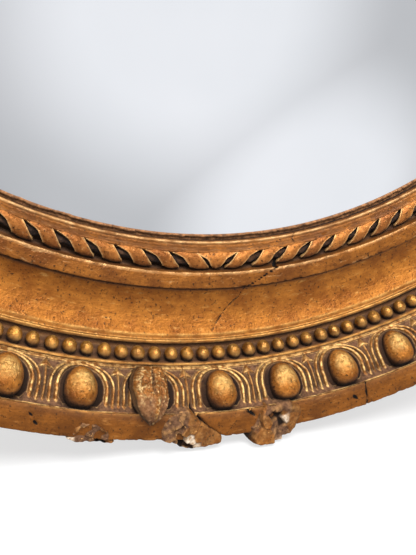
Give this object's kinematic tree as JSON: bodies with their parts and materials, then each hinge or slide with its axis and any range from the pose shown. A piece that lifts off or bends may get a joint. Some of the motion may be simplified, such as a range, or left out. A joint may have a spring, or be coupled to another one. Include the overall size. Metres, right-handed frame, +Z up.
{
  "type": "convex wall mirror",
  "caption": "Round wall mirror with a convex glass in a deep gilded frame with twisted ribbon, bead course and egg-and-dart, hung by two rings.",
  "frame": {"origin": "on the wall plane, behind the centre of the glass, on the back of the middle batten", "axes": "+Z up, +X to the viewer's right, +Y into the wall, so the glass faces -Y"},
  "size_m": [0.8986, 0.1084, 0.906],
  "materials": {
    "silvered_glass": "polished silvered glass",
    "slip_wood": "worn brown slip with traces of gilding",
    "gilt_moulding": "aged oil gilding over gesso, rubbed and dusty in the hollows",
    "gilt_ornament": "gilded composition ornament, bright on the high points",
    "broken_ornament": "broken composition, bare in the breaks, gilt where whole",
    "pine_blocks": "sawn pine, darkened with age",
    "pine_boards": "planed pine boards, dry and dusty",
    "iron_nails": "dark iron",
    "hanger_steel": "dull brassed steel",
    "hanger_wire": "dull brassed steel"
  },
  "bodies": {
    "frame": {"back_block_01": "pine_blocks", "back_block_02": "pine_blocks", "back_block_03": "pine_blocks", "back_block_04": "pine_blocks", "back_block_05": "pine_blocks", "back_block_06": "pine_blocks", "back_block_07": "pine_blocks", "back_block_08": "pine_blocks", "back_block_09": "pine_blocks", "back_block_10": "pine_blocks", "back_block_11": "pine_blocks", "back_block_12": "pine_blocks", "backboard_plank_1": "pine_boards", "backboard_plank_2": "pine_boards", "backboard_plank_3": "pine_boards", "backboard_plank_4": "pine_boards", "backboard_plank_5": "pine_boards", "batten_lower": "pine_boards", "batten_middle": "pine_boards", "batten_nails": "iron_nails", "batten_upper": "pine_boards", "bead_run_1": "gilt_ornament", "bead_run_2": "gilt_ornament", "bead_run_3": "gilt_ornament", "bead_run_4": "gilt_ornament", "bead_run_5": "gilt_ornament", "bead_run_6": "gilt_ornament", "board_nails": "iron_nails", "egg_run_1": "gilt_ornament", "egg_run_2": "gilt_ornament", "egg_run_3": "gilt_ornament", "egg_run_4": "gilt_ornament", "egg_run_5": "gilt_ornament", "egg_run_6": "gilt_ornament", "glass_slip": "slip_wood", "hanger_screws_left": "hanger_steel", "hanger_screws_right": "hanger_steel", "hanger_strap_left": "hanger_steel", "hanger_strap_right": "hanger_steel", "hollow_ring": "gilt_moulding", "left_stump": "broken_ornament", "middle_stump": "broken_ornament", "mirror_glass": "silvered_glass", "outer_ring": "gilt_moulding", "ribbon_run_1": "gilt_ornament", "ribbon_run_2": "gilt_ornament", "ribbon_run_3": "gilt_ornament", "ribbon_run_4": "gilt_ornament", "right_stump": "broken_ornament", "sight_ring": "gilt_moulding", "torn_leaf": "broken_ornament", "wedge_blocks": "pine_blocks"},
    "left_ring": {"hanger_ring_left": "hanger_wire"},
    "right_ring": {"hanger_ring_right": "hanger_wire"}
  },
  "joints": [
    {"name": "left_ring_swing", "type": "hinge", "parent": "frame", "child": "left_ring", "pos_m": [-0.38563, -0.00575, 0.11233], "axis": [1, 0, 0], "range_deg": [0, 180]},
    {"name": "right_ring_swing", "type": "hinge", "parent": "frame", "child": "right_ring", "pos_m": [0.38563, -0.00575, 0.11233], "axis": [1, 0, 0], "range_deg": [0, 180]}
  ]
}
